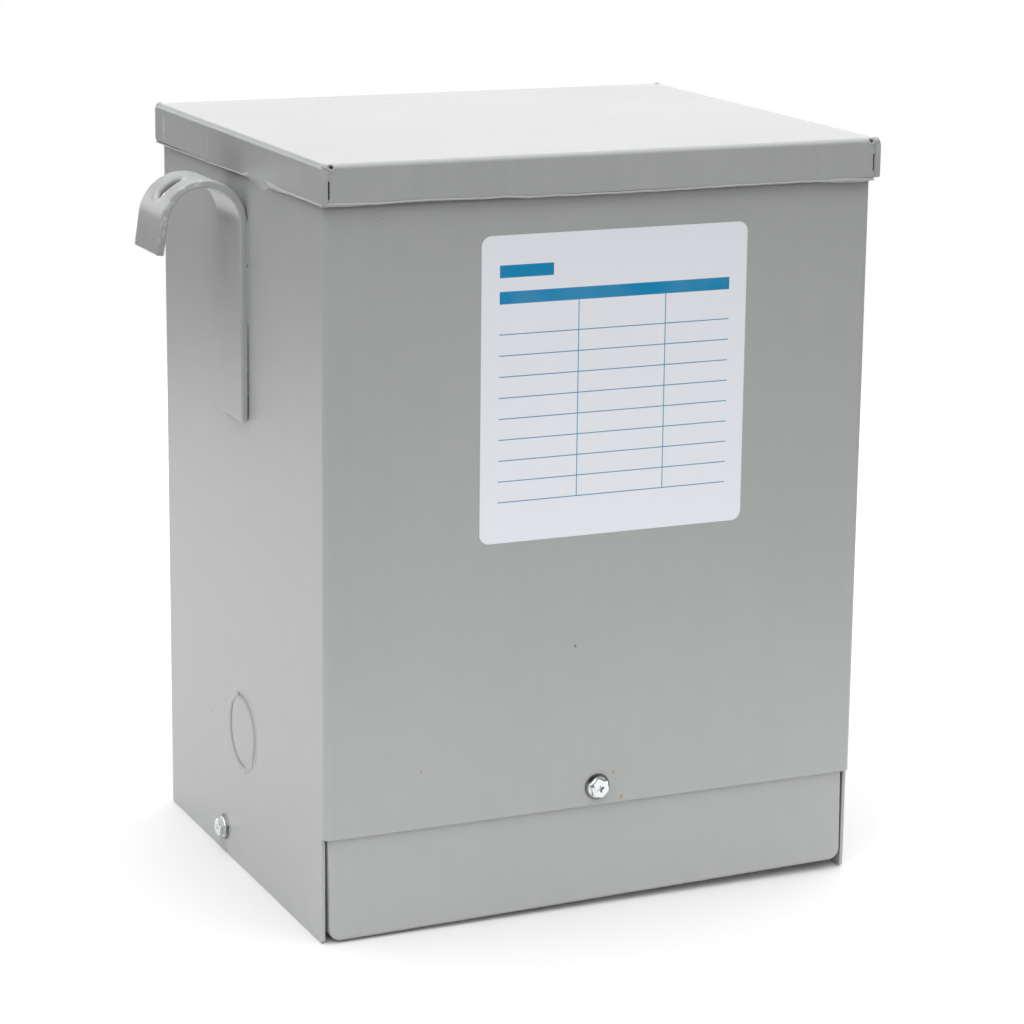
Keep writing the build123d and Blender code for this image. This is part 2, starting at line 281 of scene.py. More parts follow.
class Finish(Nodes):
    """One material and the nodes that make it."""

    def __init__(self, name):
        self.material = bpy.data.materials.new(name)
        self.material.use_nodes = True
        super().__init__(self.material.node_tree)
        self.looks = bpy.context.scene.transformer_finish
        self.place = self.node("ShaderNodeTexCoord", output="Object")
        self.x, self.y, self.z = self.node(
            "ShaderNodeSeparateXYZ", values={0: self.place}, output=(0, 1, 2)
        )

    def vector(self, operation, *values, output=0):
        return self.node(
            "ShaderNodeVectorMath", {"operation": operation}, dict(enumerate(values)), output
        )

    def mix(self, amount, first, second):
        """A colour between two others."""
        values = {0: amount, 6: opaque(first), 7: opaque(second)}
        return self.node("ShaderNodeMix", {"data_type": "RGBA"}, values, 2)

    def stretched(self, stretch, shift):
        values = {"Vector": self.place, "Location": shift, "Scale": stretch}
        return self.node("ShaderNodeMapping", values=values)

    def clouds(self, size, detail=2.0, stretch=(1, 1, 1), shift=(0, 0, 0)):
        """Soft noise about 0.5, with blotches about as large as size."""
        return self.node(
            "ShaderNodeTexNoise",
            values={"Vector": self.stretched(stretch, shift), "Scale": 1 / size, "Detail": detail},
        )

    def specks(self, spacing, radius, chance, shift=(0, 0, 0)):
        """Small round specks, one for a few of the cells that are spacing across."""
        distance, dye = self.node(
            "ShaderNodeTexVoronoi",
            values={"Vector": self.stretched((1, 1, 1), shift), "Scale": 1 / spacing},
            output=("Distance", "Color"),
        )
        draw = self.node("ShaderNodeSeparateColor", values={0: dye}, output=(0, 1))
        reach = draw[1] * radius / spacing
        return (draw[0] < chance) * (1 - (distance / reach).rise(0.6, 1.0))

    def spot(self, centre, radius, soft, stretch=(1, 1, 1), ragged=0.0):
        """1 inside a spot at that place, 0 outside."""
        away = self.vector("MULTIPLY", self.vector("SUBTRACT", self.place, centre), stretch)
        reach = self.vector("LENGTH", away, output=1)
        if ragged:
            reach = reach + (self.clouds(radius * 0.8, 3) - 0.5) * ragged
        return reach.rise(radius - soft, radius + soft, 1.0, 0.0)

    def finished(self, values, relief=None):
        """Joins the shader. relief is a height in millimetres."""
        values = {name: opaque(v) if "Color" in name else v for name, v in values.items()}
        if relief is not None:
            values["Normal"] = self.node(
                "ShaderNodeBump", values={"Height": relief, "Distance": 0.001, "Strength": 1.0}
            )
        shader = self.node("ShaderNodeBsdfPrincipled", values=values)
        self.node("ShaderNodeOutputMaterial", values={"Surface": shader}, output=())
        return self.material


def opaque(value):
    """A colour with full alpha, or the field as it is."""
    return value if isinstance(value, Field) else (*value[:3], 1.0)


def grey_coat(name, marks=(), streak=0.5, mottle=0.0, wear_and_highlight=None, shade=None, press=None):
    """The smooth semi-gloss grey coat.

    marks are stains and specks, streak is how far runs show and mottle how rough the skin is. The
    last three are functions of the finish: where the coat is chipped or thin, and where it is paler
    with a painted highlight; how dark it is with painted shade; and how many millimetres it rises.
    """
    finish = Finish(name)
    looks = finish.looks
    paint, light = looks.paint, looks.paint_light
    broad = finish.clouds(0.11, 1) - 0.5
    patches = finish.clouds(0.018, 2, shift=(3.1, 0.7, 1.9)) - 0.5
    drawn = finish.clouds(0.0045, 2, stretch=(1, 1, 0.055), shift=(0.3, 0.2, 0.0)) - 0.5
    peel = finish.clouds(0.0019, 1, shift=(0.4, 0.4, 0.4)) - 0.5
    tone = broad * 0.30 + patches * 0.25 + drawn * (0.35 * streak)
    base = finish.mix((tone + 0.30).least(1.0).most(0.0), paint, light)
    dust = finish.specks(0.021, 0.0005, 0.16)
    base = finish.mix(dust * 0.45, base, looks.dirt_and_shade)
    pale = finish.specks(0.017, 0.0004, 0.12, shift=(0.5, 0.1, 0.3))
    base = finish.mix(pale * 0.35, base, looks.speck)
    roughness = broad * 0.06 + peel * 0.02 + looks.paint_roughness
    relief = peel * (looks.peel * 0.001) + broad * 0.18 + drawn * (0.014 * streak)
    if mottle:
        skin = finish.clouds(0.0032, 3, shift=(1.7, 0.2, 0.6)) - 0.5
        relief = relief + skin * (0.05 * mottle)
        roughness = roughness + skin * (0.08 * mottle)
        base = finish.mix(skin.most(0.0) * (0.5 * mottle), base, light)
    for kind, amount, mask in [mark(finish) for mark in marks]:
        base = finish.mix(mask * amount, base, getattr(looks, kind))
        roughness = roughness + mask * 0.2
        relief = relief + mask * 0.02
    if wear_and_highlight is not None:
        # Chips and thin coat, and a painted highlight, go towards the pale chip colour
        wear_and_highlight_mask = wear_and_highlight(finish)
        base = finish.mix(wear_and_highlight_mask * 0.6, base, looks.chip_and_highlight)
        relief = relief - wear_and_highlight_mask * 0.07
        roughness = roughness + wear_and_highlight_mask * 0.12
    if shade is not None:
        # Painted shade goes towards the dark colour
        base = finish.mix(shade(finish), base, looks.dirt_and_shade)
    if press is not None:
        relief = relief + press(finish)
    surface = {"Base Color": base, "Roughness": roughness, "Metallic": 0.0, "IOR": 1.5}
    return finish.finished(surface, relief)


def reach_of(across, up):
    """How far two fields reach together."""
    squared = across * across + up * up
    return squared.math("SQRT", squared)


def round_knockout(finish):
    """How far a point is from a knockout's middle, and 1 where no tie holds the disc."""
    edges = bpy.context.scene.transformer_edges
    heart = middle_of("left_knockout")
    across, up = finish.y - heart.y, finish.z - heart.z
    reach = reach_of(across, up)
    along = (across * math.sin(edges.tie_turn) + up * math.cos(edges.tie_turn)) / reach
    held, free = [math.cos(edges.tie_width * part) for part in TIE_FADE]
    return reach, abs(along).rise(free, held, 1.0, 0.12)


def mark(kind, amount, centre, radius, soft, stretch=(1, 1, 1), ragged=0.0):
    """A stain or speck, placed when the material is made."""
    return lambda finish: (kind, amount, finish.spot(centre, radius, soft, stretch, ragged))


def bright_zinc(name, heads=()):
    """Bright zinc plate with fine rolling marks, with a painted dark reflection on the flange round
    each head.
    """
    finish = Finish(name)
    looks = finish.looks
    drawn = finish.clouds(0.0004, 3, stretch=(1, 1, 0.2)) - 0.5
    dull = finish.clouds(0.0022, 3, shift=(0.9, 0.3, 0.4))
    base = finish.mix(dull.rise(0.45, 0.75) * 0.45, looks.zinc, looks.zinc_dull)
    for centre in heads:
        # A painted dark reflection on each head's flange
        brim = finish.spot(centre, 0.0080, 0.0006) - finish.spot(centre, 0.0056, 0.0004)
        base = finish.mix(brim * 0.85, base, looks.dirt_and_shade)
    roughness = (dull - 0.5) * 0.12 + drawn * 0.06 + 0.20
    surface = {"Base Color": base, "Roughness": roughness, "Metallic": 1.0}
    return finish.finished(surface, drawn * 0.006 + (dull - 0.5) * 0.01)


def potting_compound():
    """Dark resin with sand in it."""
    finish = Finish("potting_compound")
    sand = finish.clouds(0.0012, 4)
    settled = finish.clouds(0.02, 3)
    base = finish.mix(sand.rise(0.52, 0.7) * 0.5, finish.looks.potting, finish.looks.sand)
    base = finish.mix((settled - 0.4).most(0.0), base, (0.07, 0.06, 0.05))
    return finish.finished(
        {"Base Color": base, "Roughness": (sand - 0.5) * 0.4 + 0.55, "Metallic": 0.0},
        (sand - 0.5) * 0.25 + (settled - 0.5) * 0.9,
    )


def plate_film():
    """White satin film with a blank printed form: a band, a small block, ruled lines and two
    dividers, no words.
    """
    finish = Finish("plate_film")
    looks = finish.looks
    across = finish.x - PLATE_LOW.x
    up = finish.z - PLATE_LOW.z
    wide, high = PLATE_HIGH.x - PLATE_LOW.x, PLATE_HIGH.z - PLATE_LOW.z
    soft = 0.00008
    margin, hair = 0.0085, 0.00042
    band_low, band_top = high - 0.0300, high - 0.0245
    rows, row_height, first_row = 9, 0.0093, high - 0.0435

    def block(left, right, low, top):
        return across.within(left, right, soft) * up.within(low, top, soft)

    ink = block(margin, wide - margin, band_low, band_top)
    for row in range(rows):
        level = first_row - row * row_height
        ink = ink.most(block(margin, wide - margin, level, level + hair))
    for column in (0.046, 0.088):
        last_row = first_row - (rows - 1) * row_height
        ink = ink.most(block(column, column + hair, last_row, band_low))
    ink = ink.most(block(margin, 0.034, high - 0.0185, high - 0.0130))
    worn_ink = finish.clouds(0.02, 1).rise(0.3, 0.7, 0.95, 1.0)
    cloud = finish.clouds(0.03, 3) - 0.5
    base = finish.mix(cloud * 0.25 + 0.1, looks.plate, looks.plate_shade)
    base = finish.mix(ink * worn_ink, base, looks.print_colour)
    fine = finish.clouds(0.0007, 2) - 0.5
    roughness = cloud * 0.12 + fine * 0.06 + 0.42
    surface = {"Base Color": base, "Roughness": roughness, "Metallic": 0.0, "IOR": 1.46}
    return finish.finished(surface, fine * 0.002 + cloud * 0.03 + ink * 0.006)


def floor_coat():
    """Pale floor that fades out towards its edge."""
    studio = bpy.context.scene.transformer_studio
    finish = Finish("studio_floor")
    away = finish.vector("SUBTRACT", finish.place, FLOOR_MIDDLE)
    reach = finish.vector("LENGTH", away, output=1)
    cloud = finish.clouds(0.4, 3) - 0.5
    base = finish.mix(cloud * 0.1 + 0.05, studio.floor, (0.8, 0.8, 0.8))
    fade = 0.18
    cover = reach.rise(studio.floor_reach - fade, studio.floor_reach + fade, 1.0, 0.0)
    return finish.finished({"Base Color": base, "Roughness": 0.7, "Alpha": cover})


# Meshes


def shown(name, bm):
    """Makes a smooth object of a bmesh, with its doubles merged and its faces outward."""
    bmesh.ops.remove_doubles(bm, verts=bm.verts, dist=TINY / 10)
    bmesh.ops.recalc_face_normals(bm, faces=bm.faces)
    mesh = bpy.data.meshes.new(name)
    bm.to_mesh(mesh)
    bm.free()
    mesh.shade_smooth()
    piece = bpy.data.objects.new(name, mesh)
    bpy.context.scene.collection.objects.link(piece)
    return piece


def carve(piece, tool, operation):
    """Cuts, joins or trims one object with another, which then goes."""
    cut = piece.modifiers.new("cut", "BOOLEAN")
    cut.operation, cut.object, cut.solver = operation, tool, "EXACT"
    graph = bpy.context.evaluated_depsgraph_get()
    mesh = bpy.data.meshes.new_from_object(piece.evaluated_get(graph))
    piece.modifiers.clear()
    piece.data = mesh
    bpy.data.objects.remove(tool)
    return piece


def soften(piece, width):
    """Rounds the sharp edges."""
    rounding = piece.modifiers.new("rounding", "BEVEL")
    rounding.width, rounding.segments, rounding.profile = width, 2, 0.5
    rounding.limit_method, rounding.angle_limit = "ANGLE", math.radians(30)
    rounding.harden_normals = True
    rounding.use_clamp_overlap = True
    piece.data.shade_smooth()
    return piece


def join_frame(piece, material, slot, *nodes):
    """Gives a piece its coat, puts it under the root body and hides the CAD nodes that it stands
    for.
    """
    piece.data.materials.clear()
    piece.data.materials.append(material)
    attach(piece, "root")
    if nodes:
        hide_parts(*nodes)
    return piece


def coat(material, *names):
    """Paints CAD nodes that keep their shape."""
    for name in names:
        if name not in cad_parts:
            raise ValueError(f"the frame has no node {name}")
        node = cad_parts[name]
        node.data.materials.clear()
        node.data.materials.append(material)


def begun(create, **settings):
    """A new bmesh with one shape in it."""
    bm = bmesh.new()
    create(bm, **settings)
    return bm


def scale(bm, factors):
    """Scales all of a bmesh."""
    bmesh.ops.scale(bm, vec=factors, verts=bm.verts)


def move(bm, step):
    """Moves all of a bmesh."""
    bmesh.ops.translate(bm, vec=step, verts=bm.verts)


def corners(faces):
    """The vertices of some faces, each once."""
    return list({v for face in faces for v in face.verts})


def open_up(bm, faces):
    """Takes out faces that an extrusion has left inside."""
    inner = [face for face in faces if any(len(edge.link_faces) > 2 for edge in face.edges)]
    bmesh.ops.delete(bm, geom=inner, context="FACES_ONLY")


def pull(bm, faces, step):
    """Extrudes faces by a step and gives the faces at the new end."""
    made = bmesh.ops.extrude_face_region(bm, geom=faces)["geom"]
    verts = [part for part in made if isinstance(part, bmesh.types.BMVert)]
    bmesh.ops.translate(bm, vec=step, verts=verts)
    open_up(bm, faces)
    return [part for part in made if isinstance(part, bmesh.types.BMFace)]


def round_off(bm, geom, offset, affect="EDGES"):
    """Rounds edges, or the corners of a flat section."""
    shape = {"offset_type": "OFFSET", "segments": 4, "profile": 0.5, "material": -1}
    bmesh.ops.bevel(bm, geom=geom, offset=offset, affect=affect, **shape)


def slice_at(bm, place, normal):
    """Adds a line of edges all round, so that shading stays flat beside a rounding."""
    geom = bm.verts[:] + bm.edges[:] + bm.faces[:]
    bmesh.ops.bisect_plane(bm, geom=geom, plane_co=place, plane_no=normal)


def strap(side):
    """One bent strap: leg, crown and splayed tip, with a slot through the crown."""
    sizes = bpy.context.scene.transformer_hooks
    thick, soft = sizes.strap_thickness, sizes.edge_rounding
    centre = crown_centre()
    bm = begun(bmesh.ops.create_grid, x_segments=1, y_segments=1, size=0.5)
    scale(bm, (thick, sizes.strap_width, 1))
    round_off(bm, bm.verts[:], soft, "VERTICES")
    foot = Vector((-(WALL + thick / 2), centre.y, HOOK_LOW.z))
    move(bm, foot)
    end = pull(bm, bm.faces[:], (0, 0, sizes.gap_height))
    leg_end = pull(bm, end, (0, 0, centre.z - HOOK_LOW.z - sizes.gap_height))
    bend = {"cent": centre, "axis": (0, -1, 0), "angle": sizes.wrap, "steps": 44}
    turned = bmesh.ops.spin(bm, geom=leg_end, use_merge=False, **bend)["geom_last"]
    open_up(bm, leg_end)
    end = [part for part in turned if isinstance(part, bmesh.types.BMFace)]
    splay = math.pi - sizes.wrap
    ahead = Vector((-math.sin(splay), 0, -math.cos(splay)))
    end = pull(bm, end, ahead * sizes.tip)
    tip = end[0].calc_center_median()
    # The leg stands off the wall a little at its lower end
    face = -(WALL + thick)
    bottom = HOOK_LOW.z + TINY
    for v in [v for v in bm.verts if v.co.z < bottom]:
        v.co.x = face + (v.co.x - face) * (thick - sizes.gap) / thick
    low_cap = [f for f in bm.faces if all(v.co.z < bottom for v in f.verts)]
    round_off(bm, list({edge for f in low_cap + end for edge in f.edges}), sizes.end_rounding)
    # Lines beside each rounding and beside the slot
    beside = 0.0002
    for aside in (sizes.strap_width / 2 - soft - beside, sizes.slot_width / 2 + 0.003):
        for way in (-1, 1):
            slice_at(bm, centre + Vector((0, way * aside, 0)), (0, 1, 0))
    clear = sizes.end_rounding + beside
    slice_at(bm, foot + Vector((0, 0, clear)), (0, 0, 1))
    slice_at(bm, tip - ahead * clear, ahead)
    piece = carve(shown(f"{side}_strap", bm), slot_bar(), "DIFFERENCE")
    bm = bmesh.new()
    bm.from_mesh(piece.data)
    if side == "right":
        scale(bm, (-1, 1, 1))
        bmesh.ops.recalc_face_normals(bm, faces=bm.faces)
    bm.to_mesh(piece.data)
    bm.free()
    piece.data.shade_smooth()
    return piece


def crown_centre():
    """The middle of the left crown's bend."""
    sizes = bpy.context.scene.transformer_hooks
    out = WALL + sizes.strap_thickness + sizes.inner_radius
    level = LID_EDGE - sizes.crown_drop - sizes.inner_radius - sizes.strap_thickness
    return Vector((-out, (HOOK_LOW.y + HOOK_HIGH.y) / 2, level))


def ringed_tube(segments, steps, step, turn=Matrix()):
    """A closed tube of radius 1, pulled step by step, and its rings of vertices."""
    bm = begun(bmesh.ops.create_circle, cap_ends=True, segments=segments, radius=1.0)
    bmesh.ops.transform(bm, matrix=turn, verts=bm.verts)
    faces, rings = bm.faces[:], [bm.verts[:]]
    for _ in range(steps):
        faces = pull(bm, faces, step)
        rings.append(corners(faces))
    return bm, rings


def slot_bar():
    """The slot's cutter: a bar that flares towards both faces of the crown and bends with it."""
    sizes = bpy.context.scene.transformer_hooks
    centre, rim = crown_centre(), sizes.slot_rounding
    inner, outer = sizes.inner_radius, sizes.inner_radius + sizes.strap_thickness
    half = (sizes.slot_length - sizes.slot_width) / 2
    # A quarter circle, from nearly flush with a face to upright; the lower rim is the smaller one
    turns = [math.radians(turn) for turn in (78, 62, 46, 31, 16, 0)]
    flare = [(0.975 - math.sin(turn), 1 - math.cos(turn)) for turn in turns]
    lower, past = 0.45 * rim, 0.003
    under = [(inner + lower * deep, lower * grow) for deep, grow in flare]
    above = [(outer - rim * deep, rim * grow) for deep, grow in reversed(flare)]
    levels = [(inner - past, under[0][1]), *under, *above, (outer + past, above[-1][1])]
    bm, rings = ringed_tube(56, len(levels) - 1, (0, 0, 0.001))
    for (level, grow), verts in zip(levels, rings):
        reach = sizes.slot_width / 2 + grow
        for v in verts:
            along = half * max(-1.0, min(1.0, 3 * v.co.x)) + reach * v.co.x
            turn = sizes.slot_lean + along / outer
            outward = Vector((-math.sin(turn), 0, math.cos(turn)))
            v.co = centre + outward * level + Vector((0, v.co.y * reach, 0))
    return shown("slot_bar", bm)


def rod(start, reach, across, up, steps, shape):
    """A closed bead along a line: a ring pulled step by step, then shaped ring by ring.

    start and reach are the line's start and its whole vector, across and up are the ring's ways.
    shape takes the share of the way, the ring point's two places on a unit circle and how far the
    end is open, and gives how far across and up the point lies.
    """
    start, across, up = Vector(start), Vector(across), Vector(up)
    along = Vector(reach) / steps
    turn = Matrix((across, up, across.cross(up))).transposed()
    bm, rings = ringed_tube(20, steps, along, turn.to_4x4())
    for number, verts in enumerate(rings):
        part = number / steps
        # The last step and a half at each end closes it
        shut = max(0.0, abs(2 * part - 1) * steps - steps + 3) / 3
        open_end = math.sqrt(max(0.02, 1 - shut * shut))
        for v in verts:
            local = v.co - along * number
            away, lift = shape(part, local.dot(across), local.dot(up), open_end)
            v.co = start + along * number + across * away + up * lift
    return bm


def ease(value, low, high):
    """0 below low, 1 above high, and a soft way between."""
    part = min(1.0, max(0.0, (value - low) / (high - low)))
    return part * part * (3 - 2 * part)


def along_table(table, place):
    """Reads between the rows of a short table of (place, value)."""
    for (first, low), (last, high) in zip(table, table[1:]):
        if place <= last:
            return low + (high - low) * ease(place, first, last)
    return table[-1][1]


# How low the bead's edge hangs, in metres under the lid's edge, along each run
FRONT_LINE = (
    (-0.1246, 0.0005),
    (-0.0886, 0.0001),
    (-0.0518, 0.0005),
    (-0.0331, 0.0011),
    (0.0145, 0.0013),
    (0.0535, 0.0010),
    (0.0933, 0.0009),
    (0.1239, 0.0016),
)
LEFT_LINE = (
    (-0.1029, 0.0003),
    (-0.0460, 0.0008),
    (-0.0150, 0.0003),
    (0.0398, 0.0009),
    (0.0985, 0.0013),
)
PLAIN_HANG = 0.0009  # On the hidden runs
# The left bead grows fuller over the first stretch of Y and is wiped flush over the second
FULLER = (-0.0750, -0.0490)
WIPED = (-0.0460, -0.0150)
# The front bead thins out over the first stretch of X, and has a lump between the other two
THINNING = (-0.128, -0.104)
LUMP_START, LUMP_END = (0.102, 0.112), (0.121, 0.132)


def bead_run(side):
    """One run of the bead along its edge of the lid, from corner to corner."""
    sizes = bpy.context.scene.transformer_sealant
    seed = {"front": 3.0, "back": 17.0, "left": 29.0, "right": 41.0}[side]
    on_side = side in SIDES
    way = SIDES[side] if on_side else {"front": -1, "back": 1}[side]
    flange, wall = (LID_HIGH.x, WALL) if on_side else (LID_HIGH.y, -FRONT)
    reach = (LID_HIGH.y if on_side else LID_HIGH.x) + sizes.proud * 0.5
    # At the right front corner the bead ends with the wall, elsewhere at the lid's corners
    begin = FRONT - 0.0004 if side == "right" else -reach
    end = WALL + 0.0002 if side == "front" else reach
    lines = {"front": FRONT_LINE, "left": LEFT_LINE}
    tall = sizes.side_height if on_side else sizes.front_height

    def shape(part, out, up, open_end):
        place = begin + (end - begin) * part
        wander = noise.noise(Vector((place * 90, seed, 0)))
        wander += 0.5 * noise.noise(Vector((place * 260, seed, 5)))
        hang = along_table(lines[side], place) if side in lines else PLAIN_HANG
        half, proud, wiped = tall / 2, sizes.proud, 0.0
        if side == "left":
            wiped = ease(place, WIPED[0] - 0.003, WIPED[0] + 0.006)
            wiped *= 1 - ease(place, WIPED[1] - 0.012, WIPED[1] + 0.003)
            # In front of the wiped part the bead is fuller, and behind it thinner
            fat = 1 - ease(place, WIPED[0] - 0.002, WIPED[0] + 0.003)
            fat *= ease(place, *FULLER)
            thin = ease(place, WIPED[1] - 0.004, WIPED[1] + 0.004)
            half += 0.0006 * fat - 0.00035 * thin
            proud += 0.00015 + 0.0003 * fat - 0.0002 * thin
            hang += 0.0003 * fat
        elif side == "front":
            fat = 1 - ease(place, *THINNING)
            lump = ease(place, *LUMP_START) * (1 - ease(place, *LUMP_END))
            half += 0.0004 * fat + 0.0005 * lump
            hang += 0.0004 * lump
        half *= open_end
        deep = sizes.thickness * open_end
        away = flange + proud - sizes.thickness + deep * out
        lift = LID_EDGE - hang - sizes.waver * wander + half * (1 + up)
        if wiped:
            # The sealant is wiped to a ramp from the lid's face to the wall
            spread = 0.2 + 0.8 * ease(place, WIPED[0], WIPED[0] + 0.016)
            deep_reach = sizes.wipe_reach * wiped * spread
            level = -deep_reach - 0.0004 + (deep_reach + 0.0032) * (up + 1) / 2
            slope = ease(level, -deep_reach, 0.0006)
            skin = 0.00012 * (1 - up * up) - 0.00004
            outside, behind_wall = out > -0.01, wall - 0.0004
            ramp = wall + (flange - wall) * slope + skin if outside else behind_wall
            share = min(1.0, 1.6 * wiped)
            away += (ramp - away) * share
            lift += (LID_EDGE + level - lift) * share
        return way * away if on_side else away, lift

    if on_side:
        start, whole, across = (0, begin, 0), (0, end - begin, 0), (1, 0, 0)
    else:
        start, whole, across = (begin, 0, 0), (end - begin, 0, 0), (0, way, 0)
    bm = rod(start, whole, across, (0, 0, 1), round((end - begin) / RING_STEP), shape)
    return shown(f"bead_{side}", bm)


def paint_run(name, place, tall, wide, thick):
    """A run of paint on the lid's left edge: a flat drop with its lower end fuller."""
    bm = begun(bmesh.ops.create_uvsphere, u_segments=20, v_segments=24, radius=1.0)
    for v in bm.verts:
        fuller = 0.62 + 0.38 * max(0.0, -v.co.z) ** 0.7
        v.co.x *= fuller
        v.co.y *= fuller
    scale(bm, (thick, wide / 2, tall / 2))
    move(bm, place)
    return shown(name, bm)


def seam_paint(side):
    """Paint that bridges the seam between strap and wall here and there."""
    sizes = bpy.context.scene.transformer_hooks
    edge, centre = sizes.strap_width / 2, crown_centre()
    low, gap_top, top = HOOK_LOW.z, HOOK_LOW.z + sizes.gap_height, centre.z
    way = SIDES[side]
    whole = bmesh.new()
    break_low, break_high = gap_top + 0.0265, gap_top + 0.0272
    runs = [(gap_top - 0.0005, break_low), (break_high, top + 0.0015)]
    lumps = [low + level / 1000 for level in (13.4, 17.0, 23.4, 26.4, 30.2, 33.0, 36.5, 39.4, 42.0)]
    for face in (-1, 1):
        for first, last in runs:

            def shape(part, out, up, open_end, first=first, last=last, face=face):
                place = first + (last - first) * part
                wander = noise.noise(Vector((place * 300, face * 7.0, way * 3.0)))
                size = (0.00042 + 0.00012 * wander) * open_end
                return size * out, size * 0.9 * up

            start = (way * (WALL + 0.0001), centre.y + face * (edge - 0.0001), first)
            steps = max(6, round((last - first) / RING_STEP))
            gather(whole, rod(start, (0, 0, last - first), (1, 0, 0), (0, 1, 0), steps, shape))
        for number, level in enumerate(lumps):
            lump = begun(bmesh.ops.create_icosphere, subdivisions=2, radius=1.0)
            size = 0.00036 + 0.00010 * noise.noise(Vector((number * 3.3, face, way)))
            scale(lump, (size * 1.2, size, size * 1.7))
            move(lump, (way * (WALL + 0.0003), centre.y + face * (edge - 0.0004), level))
            gather(whole, lump)
    return shown(f"{side}_seam_paint", whole)


def gather(whole, part):
    """Adds one bmesh to another."""
    mesh = bpy.data.meshes.new("part")
    part.to_mesh(mesh)
    part.free()
    whole.from_mesh(mesh)
    bpy.data.meshes.remove(mesh)


def cone(segments, lower, upper, base, top):
    """A closed cone or cylinder about Z, from base to top."""
    sizes = {"radius1": lower, "radius2": upper, "depth": top - base}
    bm = begun(bmesh.ops.create_cone, cap_ends=True, segments=segments, **sizes)
    move(bm, (0, 0, (base + top) / 2))
    return bm


def stack(segments, rings):
    """A closed turned solid about Z from (radius, level) pairs."""
    (radius, level), *rest = rings
    bm = begun(bmesh.ops.create_circle, cap_ends=True, segments=segments, radius=radius)
    move(bm, (0, 0, level))
    faces = bm.faces[:]
    for wide, high in rest:
        faces = pull(bm, faces, (0, 0, high - level))
        bmesh.ops.scale(bm, vec=(wide / radius, wide / radius, 1), verts=corners(faces))
        radius, level = wide, high
    return bm


def hoop(radius, wide, high, begin=0.0, sweep=2 * math.pi):
    """A closed ring about Z with an oval section, or an arc of one."""
    whole = sweep >= 2 * math.pi
    bm = bmesh.new()
    ring = bmesh.ops.create_circle(bm, cap_ends=not whole, segments=14, radius=1.0)["verts"]
    bmesh.ops.scale(bm, vec=(wide, high, 1), verts=ring)
    start = Matrix.Rotation(begin, 4, "Z") @ Matrix.Translation((radius, 0, 0))
    bmesh.ops.transform(bm, matrix=start @ Matrix.Rotation(math.pi / 2, 4, "X"), verts=ring)
    section = bm.edges[:] if whole else bm.faces[:]
    steps = 72 if whole else max(8, round(sweep * 12))
    turn = {"cent": (0, 0, 0), "axis": (0, 0, 1), "angle": sweep, "steps": steps}
    bmesh.ops.spin(bm, geom=section, use_merge=whole, **turn)
    return bm


def onto_sheet(side, middle):
    """The matrix that lays a part, built about Z, on the front or on a side wall."""
    if side == "front":
        across, outward, place = (1, 0, 0), (0, -1, 0), (middle.x, FRONT, middle.z)
    else:
        way = SIDES[side]
        across, outward, place = (0, way, 0), (way, 0, 0), (way * WALL, middle.y, middle.z)
    turn = Matrix((across, (0, 0, 1), outward)).transposed()
    return Matrix.Translation(place) @ turn.to_4x4()


def knockout(side):
    """A struck disc with a dished rim, flush at its two ties."""
    sizes = bpy.context.scene.transformer_edges
    low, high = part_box(f"{side}_knockout")
    sheet, radius = high.x - low.x, sizes.disc_radius
    dish, drop = sizes.disc_dish, sizes.disc_drop
    rings = [(radius, -sheet)]
    steps = 10
    for step in range(steps + 1):
        inward = step / steps
        rings.append((radius - dish * inward, -drop * (1 - ease(inward, -0.3, 1.0))))
    whole = stack(120, rings)
    ties = [math.pi / 2 - SIDES[side] * sizes.tie_turn + half for half in (0, math.pi)]
    fade = [sizes.tie_width * part for part in TIE_FADE]
    for v in whole.verts:
        here = math.atan2(v.co.y, v.co.x)
        off = min(abs(math.remainder(here - tie, 2 * math.pi)) for tie in ties)
        held = 1 - ease(off, *fade)
        if -sheet + TINY < v.co.z:
            v.co.z *= 1 - 0.9 * held
    for tie in ties:
        half = sizes.tie_width * 0.4
        gather(whole, hoop(radius + 0.0003, 0.0013, 0.00024, tie - half, 2 * half))
    place = onto_sheet(side, middle_of(f"{side}_knockout"))
    bmesh.ops.transform(whole, matrix=place, verts=whole.verts)
    return shown(f"{side}_struck_knockout", whole)


